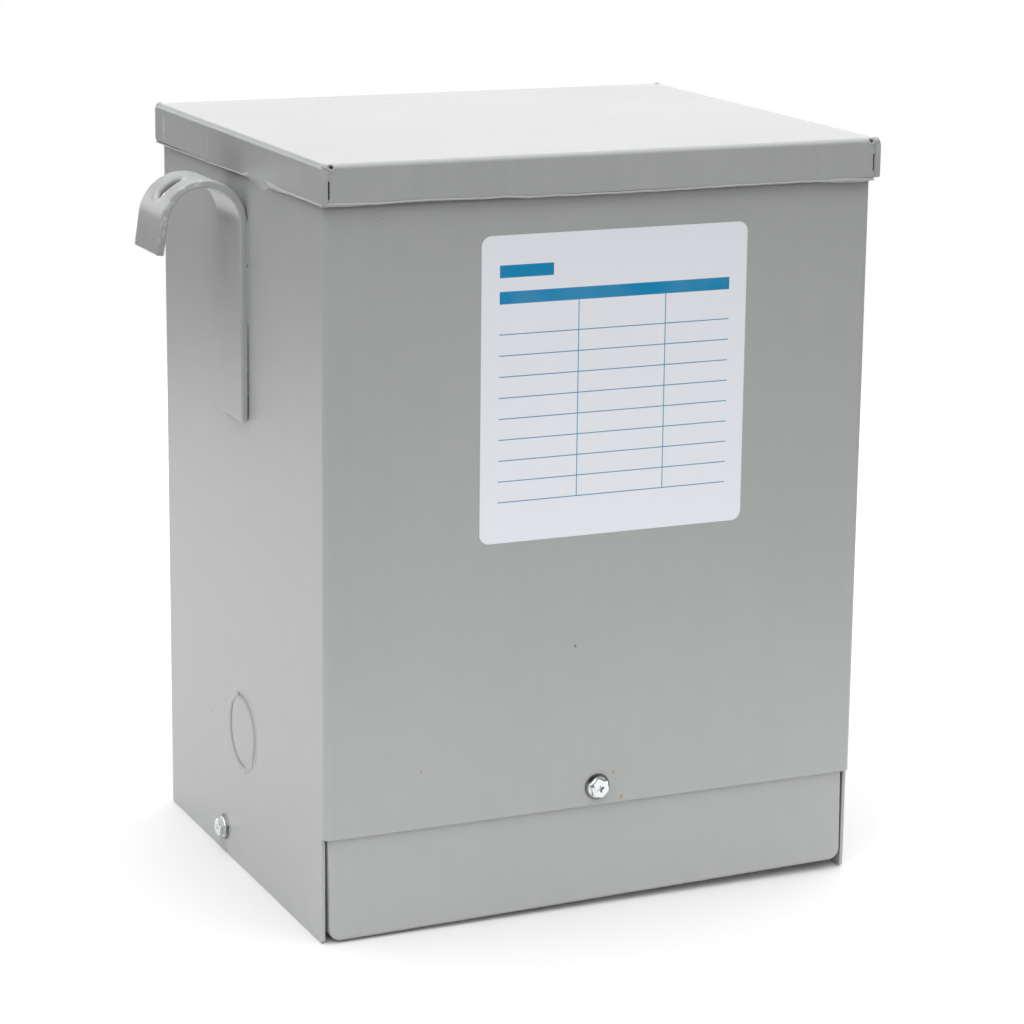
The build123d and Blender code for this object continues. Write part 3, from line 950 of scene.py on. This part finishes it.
def lid_corner(side, way):
    """The folded end, the burr round the relief hole and the knuckle at an open corner."""
    sizes = bpy.context.scene.transformer_edges
    face = abs(LID_LOW.y)
    whole = bmesh.new()
    fold = begun(bmesh.ops.create_cube, size=1.0)
    wide, deep = 0.0026, 0.0012
    scale(fold, (wide, deep, sizes.fold_height))
    round_off(fold, fold.edges[:], 0.00035)
    level = LID_EDGE + 0.0004 + sizes.fold_height / 2
    out = face + sizes.fold_proud - deep / 2
    move(fold, (-(LID_HIGH.x - wide / 2 + 0.00005), -out, level))
    gather(whole, fold)
    # The burr follows the bend of the lid
    bend, ring = 0.0022, 0.00152
    burr = hoop(ring, sizes.burr, sizes.burr)
    heart = Vector((-0.1287, -(face - bend), LID_HIGH.z - bend - 0.0006))
    outward, uphill = Vector((0, -1, 1)).normalized(), Vector((0, 1, 1)).normalized()
    for v in burr.verts:
        along, aside, lift = v.co.y, v.co.x, v.co.z
        skin = bend * math.sqrt(2) - abs(along)
        if abs(along) < 0.00155:
            skin = math.sqrt(max(0.0, bend * bend - along * along))
        fuller = 1 + 0.4 * (aside * 0.7 - along * 0.7) / 0.0016
        v.co = heart + Vector((aside, 0, 0)) + uphill * along + outward * (skin + lift * fuller)
    gather(whole, burr)
    knuckle = begun(bmesh.ops.create_icosphere, subdivisions=4, radius=1.0)
    scale(knuckle, (0.0017, 0.0019, 0.0018))
    move(knuckle, (-0.1313, -(face - 0.0012), LID_HIGH.z - 0.0013))
    gather(whole, knuckle)
    # All this is the left front corner, and is mirrored to the others
    scale(whole, (-SIDES[side], -way, 1))
    end = "front" if way < 0 else "back"
    return shown(f"{side}_{end}_corner", whole)


def threaded_shank(sizes):
    """A stack of rings for the thread, with a short point."""
    half = sizes.shank / 2
    core = half * 0.8
    start, neck, point = 0.0003, 0.001, 0.0011
    shank = begun(bmesh.ops.create_circle, cap_ends=True, segments=32, radius=core)
    move(shank, (0, 0, start))
    faces = shank.faces[:]
    turns = int((sizes.shank_length - 0.0022) / sizes.pitch)
    outer = half / core
    thread = [(outer, 0.45 * sizes.pitch), (1 / outer, 0.55 * sizes.pitch)] * turns
    for size, drop in [(1.0, neck), *thread, (0.5, point)]:
        faces = pull(shank, faces, (0, 0, -drop))
        bmesh.ops.scale(shank, vec=(size, size, 1), verts=corners(faces))
    return shown("shank", shank)


def screw(side):
    """A flanged hex screw with a cross recess and a threaded shank, its head outward."""
    sizes = bpy.context.scene.transformer_screws
    flat, head = sizes.hex_width / 2, sizes.head_height
    point = flat / math.cos(math.pi / 6)
    hexagon = shown("hexagon", cone(6, point, point, 0.0002, head))
    # A cone trims the hexagon's upper corners
    crown = cone(48, flat * 1.02 + head * 1.55, flat * 0.93, 0.0001, head + TINY)
    carve(hexagon, shown("crown", crown), "INTERSECT")
    brim, thick = sizes.flange_diameter / 2, sizes.flange_thickness
    rim = brim * 0.965
    body = shown("brim", cone(64, brim, rim, 0.0, thick * 0.62))
    dome = cone(64, rim, flat * 1.16, thick * 0.6, thick * 1.25)
    carve(body, shown("dome", dome), "UNION")
    carve(body, hexagon, "UNION")
    for turn in (0, math.pi / 2):
        arm = begun(bmesh.ops.create_cube, size=1.0)
        scale(arm, (sizes.recess_length, sizes.recess_width, 2 * sizes.recess_depth))
        under = [v for v in arm.verts if v.co.z < 0]
        bmesh.ops.scale(arm, vec=(0.42, 0.7, 1), verts=under)
        place = Matrix.Translation((0, 0, head)) @ Matrix.Rotation(turn, 4, "Z")
        bmesh.ops.transform(arm, matrix=place, verts=arm.verts)
        carve(body, shown("arm", arm), "DIFFERENCE")
    carve(body, threaded_shank(sizes), "UNION")
    turn = Matrix.Rotation(getattr(sizes, f"{side}_turn"), 4, "Z")
    body.data.transform(onto_sheet(side, middle_of(f"{side}_screw")) @ turn)
    body.name = body.data.name = f"{side}_hex_screw"
    return soften(body, 0.00016)


# Operators


class TRANSFORMER_OT_studio(bpy.types.Operator):
    """Sets the floor, the tent, the soft box and the camera"""

    bl_idname = "transformer.studio"
    bl_label = "Studio"

    def execute(self, context):
        studio = context.scene.transformer_studio
        bm = begun(bmesh.ops.create_circle, cap_ends=True, segments=96, radius=1.6)
        move(bm, FLOOR_MIDDLE)
        floor = shown("studio_floor", bm)
        floor.data.materials.append(floor_coat())
        self.tent(context, studio)
        self.soft_box(context, studio)
        self.camera(context, studio)
        context.scene.view_settings.view_transform = "Standard"
        return {"FINISHED"}

    def tent(self, context, studio):
        """A white tent, bright overhead, with plain white behind what the camera sees."""
        world = bpy.data.worlds.new("studio_tent")
        context.scene.world = world
        world.use_nodes = True
        nodes = Nodes(world.node_tree)
        way = nodes.node("ShaderNodeTexCoord", output="Generated")
        x, y, z = nodes.node("ShaderNodeSeparateXYZ", values={0: way}, output=(0, 1, 2))
        soft = 0.06
        low_top, middle_top = 0.25, 0.6  # Heights where the tent's three zones meet

        def lobe(across, back):
            facing = (x * across + y * back).most(0.0)
            return facing * facing

        ahead = lobe(-0.707, -0.707) * studio.left_front + lobe(0.0, -1.0) * studio.front
        behind = (lobe(1.0, 0.0) + lobe(0.0, 1.0)) * studio.behind
        level = z.rise(middle_top - soft, middle_top + soft) * studio.high
        level = level + z.within(low_top, middle_top, soft) * ahead
        level = level + z.within(0.0, low_top, soft) * behind
        white = (1.0, 1.0, 1.0, 1.0)
        lit = nodes.node("ShaderNodeBackground", values={"Color": white, "Strength": level})
        seen = nodes.node("ShaderNodeBackground", values={"Color": white})
        camera_ray = nodes.node("ShaderNodeLightPath", output="Is Camera Ray")
        blend = nodes.node("ShaderNodeMixShader", values={0: camera_ray, 1: lit, 2: seen})
        nodes.node("ShaderNodeOutputWorld", values={"Surface": blend}, output=())

    def soft_box(self, context, studio):
        """A weak soft box that gives the edges a little shape."""
        data = bpy.data.lights.new("soft_box", "AREA")
        data.shape, data.size, data.energy = "SQUARE", 1.2, studio.soft_box
        light = bpy.data.objects.new("soft_box", data)
        place = Vector((-0.8, -1.1, 1.7))
        turn = (Vector((0.0, 0.0, 0.2)) - place).to_track_quat("-Z", "Y")
        light.matrix_world = Matrix.Translation(place) @ turn.to_matrix().to_4x4()
        context.scene.collection.objects.link(light)

    def camera(self, context, studio):
        """The photograph's own angle and framing."""
        data = bpy.data.cameras.new("studio_camera")
        data.sensor_width, data.sensor_fit = 36.0, "HORIZONTAL"
        data.lens = studio.lens
        data.shift_x, data.shift_y = -0.0335, -0.0301
        data.clip_start, data.clip_end = 0.05, 50.0
        camera = bpy.data.objects.new("studio_camera", data)
        right = Vector((0.9104575, -0.4133963, 0.0130633))
        down = Vector((-0.0845684, -0.2169832, -0.9725052))
        ahead = Vector((0.4048646, 0.8843200, -0.2325143))
        turn = Matrix((right, -down, -ahead)).transposed()
        place = Matrix.Translation((-0.6113762, -1.3838825, 0.5370054))
        camera.matrix_world = place @ turn.to_4x4()
        context.scene.collection.objects.link(camera)
        context.scene.camera = camera


class TRANSFORMER_OT_case(bpy.types.Operator):
    """Coats the folded case, its back, its knockouts and the lower cover"""

    bl_idname = "transformer.case"
    bl_label = "Case and cover"

    def execute(self, context):
        under_screw = (-WALL, middle_of("left_screw").y + 0.004, 0.0045)
        marks = [
            mark("rust", 0.8, (-0.0857, FRONT, 0.0752), 0.0007, 0.0004, ragged=0.0007),
            mark("rust", 0.7, (0.0079, FRONT, 0.0633), 0.0009, 0.0005, ragged=0.0009),
            mark("rust", 0.8, (0.0122, FRONT, 0.0510), 0.0008, 0.0004, (1, 1, 0.7), 0.0008),
            mark("dirt_and_shade", 0.8, (-0.0120, FRONT, 0.1247), 0.0006, 0.0003, ragged=0.0004),
            mark("dirt_and_shade", 0.6, (-WALL, 0.0438, 0.0643), 0.0005, 0.0003, ragged=0.0004),
            mark("dirt_and_shade", 0.5, (-WALL, 0.0253, 0.0012), 0.0009, 0.0004, ragged=0.0008),
            mark("dirt_and_shade", 0.10, under_screw, 0.0042, 0.0030, ragged=0.004),
        ]
        edges = context.scene.transformer_edges

        def lip(finish):
            """The wall rises to a soft lip round each knockout, apart from its two ties."""
            reach, free = round_knockout(finish)
            inner, outer = edges.disc_radius - 0.001, edges.disc_radius + edges.lip_width
            millimetres = 1000 * edges.lip_height
            return reach.rise(inner, outer, millimetres, 0.0) * free

        def groove_painted_shade(finish):
            """Painted shade in the struck groove, on the disc's dished rim."""
            reach, free = round_knockout(finish)
            inner, outer = edges.disc_radius - 0.0036, edges.disc_radius - 0.0010
            return reach.rise(inner, outer) * free * 0.4

        def crevice_painted_shade(finish):
            """Painted shade on the wall just under the sealant, darker towards the lid's edge."""
            return finish.z.rise(LID_EDGE - 0.0027, LID_EDGE - 0.0013) * 0.3

        walls = grey_coat("case_coat", marks, shade=crevice_painted_shade, press=lip)
        coat(walls, "case_wrapper", "back_panel")
        coat(grey_coat("cover_coat"), "lower_cover")
        struck = grey_coat("knockout_coat", mottle=0.2, shade=groove_painted_shade)
        for side in SIDES:
            join_frame(knockout(side), struck, "case_paint", f"{side}_knockout")
        return {"FINISHED"}


class TRANSFORMER_OT_lid(bpy.types.Operator):
    """Coats the pan lid, and adds its folded corners and the runs of paint on its left edge"""

    bl_idname = "transformer.lid"
    bl_label = "Lid"

    def execute(self, context):
        def thin(finish):
            """The coat is paler where it ran."""
            return finish.clouds(0.004, 2).rise(0.25, 0.6) * 0.55

        coat(grey_coat("lid_coat", streak=1.2), "lid")
        run_coat = grey_coat("run_coat", streak=0.8, wear_and_highlight=thin)
        corner_coat = grey_coat("corner_coat", streak=0.8)
        runs = (
            ((LID_LOW.x, 0.0354, 0.3362), 0.0125, 0.0021, 0.00030),
            ((LID_LOW.x, 0.0993, 0.3360), 0.0125, 0.0034, 0.00022),
        )
        for number, (place, tall, wide, thick) in enumerate(runs, start=1):
            run = paint_run(f"paint_run_{number}", place, tall, wide, thick)
            join_frame(run, run_coat, "case_paint")
        for side in SIDES:
            for way in (-1, 1):
                join_frame(lid_corner(side, way), corner_coat, "case_paint")
        return {"FINISHED"}


class TRANSFORMER_OT_sealant(bpy.types.Operator):
    """Lays the painted bead under the lid's edge, in four runs"""

    bl_idname = "transformer.sealant"
    bl_label = "Sealant"

    def execute(self, context):
        material = grey_coat("bead_coat", streak=0.3, mottle=0.6)
        for side in ("front", "back", "left", "right"):
            join_frame(bead_run(side), material, "sealant", f"sealant_{side}")
        return {"FINISHED"}


class TRANSFORMER_OT_hooks(bpy.types.Operator):
    """Bends the two straps and lays the paint in their seams"""

    bl_idname = "transformer.hooks"
    bl_label = "Hooks"

    def execute(self, context):
        sizes = context.scene.transformer_hooks
        middle = crown_centre().y

        def chips_and_foot_highlight(finish):
            """Chips along the strap's cut edges, thickest on the crown, and a painted highlight at
            the leg's lower end.
            """
            inner = sizes.strap_width / 2 - 0.0011
            edge = abs(finish.y - middle).rise(inner, inner + 0.0006)
            high = finish.z.rise(HOOK_HIGH.z - 0.045, HOOK_HIGH.z - 0.018)
            ragged = finish.clouds(0.0028, 4, shift=(0.2, 0.6, 0.1)).rise(0.50, 0.64)
            chips = edge * high * ragged * (abs(finish.x) > WALL + 0.016)
            # A painted highlight, pale like a chip, along the outer face at the leg's lower end
            foot = finish.z.rise(HOOK_LOW.z + 0.0006, HOOK_LOW.z + 0.0009, 1.0, 0.0)
            return chips.most(foot * (abs(finish.x) > WALL + 0.0025))

        def slot_and_leg_painted_shade(finish):
            """Painted shade deep in the slot and, thinly, on the outer leg, darker lower down."""
            centre = crown_centre()
            away, up = abs(finish.x) + centre.x, finish.z - centre.z
            outer = sizes.inner_radius + sizes.strap_thickness
            reach = reach_of(away, up)
            deep = reach.rise(outer - 0.0030, outer - 0.0006, 1.0, 0.0)
            inside = (reach > sizes.inner_radius + 0.0002) * (abs(finish.y - middle) < 0.0062)
            round_slot = (away > 0.0035) * (up > 0.0035)
            leg = abs(finish.x).rise(WALL + 0.026, WALL + 0.036) * 0.22
            leg = leg * finish.z.rise(centre.z - 0.004, centre.z + 0.014, 1.0, 0.0)
            return (deep * inside * round_slot * 0.5).most(leg)

        material = grey_coat("hook_coat", streak=1.2, mottle=0.7, wear_and_highlight=chips_and_foot_highlight, shade=slot_and_leg_painted_shade)
        seam = grey_coat("seam_coat", mottle=0.5)
        for side in SIDES:
            join_frame(strap(side), material, "hook_paint", f"{side}_hook")
            join_frame(seam_paint(side), seam, "case_paint")
        return {"FINISHED"}


class TRANSFORMER_OT_screws(bpy.types.Operator):
    """Makes the three hex screws and coats the clinch nuts"""

    bl_idname = "transformer.screws"
    bl_label = "Screws"

    def execute(self, context):
        top = Vector((0, 0, context.scene.transformer_screws.head_height))
        sides = ("front", *SIDES)
        heads = [onto_sheet(side, middle_of(f"{side}_screw")) @ top for side in sides]
        material = bright_zinc("screw_zinc", heads)
        for side in sides:
            join_frame(screw(side), material, "zinc", f"{side}_screw")
        coat(bright_zinc("nut_zinc"), *(f"{side}_clinch_nut" for side in sides))
        return {"FINISHED"}


class TRANSFORMER_OT_plate(bpy.types.Operator):
    """Gives the nameplate its film and the block its compound"""

    bl_idname = "transformer.plate"
    bl_label = "Plate and core"

    def execute(self, context):
        coat(plate_film(), "nameplate")
        coat(potting_compound(), "potted_core")
        return {"FINISHED"}


OPERATORS = (
    TRANSFORMER_OT_studio,
    TRANSFORMER_OT_case,
    TRANSFORMER_OT_lid,
    TRANSFORMER_OT_sealant,
    TRANSFORMER_OT_hooks,
    TRANSFORMER_OT_screws,
    TRANSFORMER_OT_plate,
)

GROUPS = {
    "transformer_hooks": TransformerHookSizes,
    "transformer_screws": TransformerScrewSizes,
    "transformer_sealant": TransformerSealantSizes,
    "transformer_edges": TransformerEdgeSizes,
    "transformer_finish": TransformerFinish,
    "transformer_studio": TransformerStudio,
}


class TRANSFORMER_PT_panel(bpy.types.Panel):
    """Lists the steps and the sizes in the sidebar"""

    bl_idname = "TRANSFORMER_PT_panel"
    bl_label = "Wall transformer"
    bl_space_type = "VIEW_3D"
    bl_region_type = "UI"
    bl_category = "Transformer"

    def draw(self, context):
        for operator in OPERATORS:
            self.layout.operator(operator.bl_idname)
        for name, group in GROUPS.items():
            box = self.layout.box()
            box.label(text=group.__doc__)
            for prop in group.__annotations__:
                box.prop(getattr(context.scene, name), prop)


def register():
    for group in GROUPS.values():
        bpy.utils.register_class(group)
    for name, group in GROUPS.items():
        setattr(bpy.types.Scene, name, PointerProperty(type=group))
    for operator in OPERATORS:
        bpy.utils.register_class(operator)
    bpy.utils.register_class(TRANSFORMER_PT_panel)


def unregister():
    bpy.utils.unregister_class(TRANSFORMER_PT_panel)
    for operator in reversed(OPERATORS):
        bpy.utils.unregister_class(operator)
    for name in GROUPS:
        delattr(bpy.types.Scene, name)
    for group in reversed(GROUPS.values()):
        bpy.utils.unregister_class(group)


def main():
    register()
    bpy.ops.transformer.studio()
    bpy.ops.transformer.case()
    bpy.ops.transformer.lid()
    bpy.ops.transformer.sealant()
    bpy.ops.transformer.hooks()
    bpy.ops.transformer.screws()
    bpy.ops.transformer.plate()


if __name__ == "__main__":
    main()
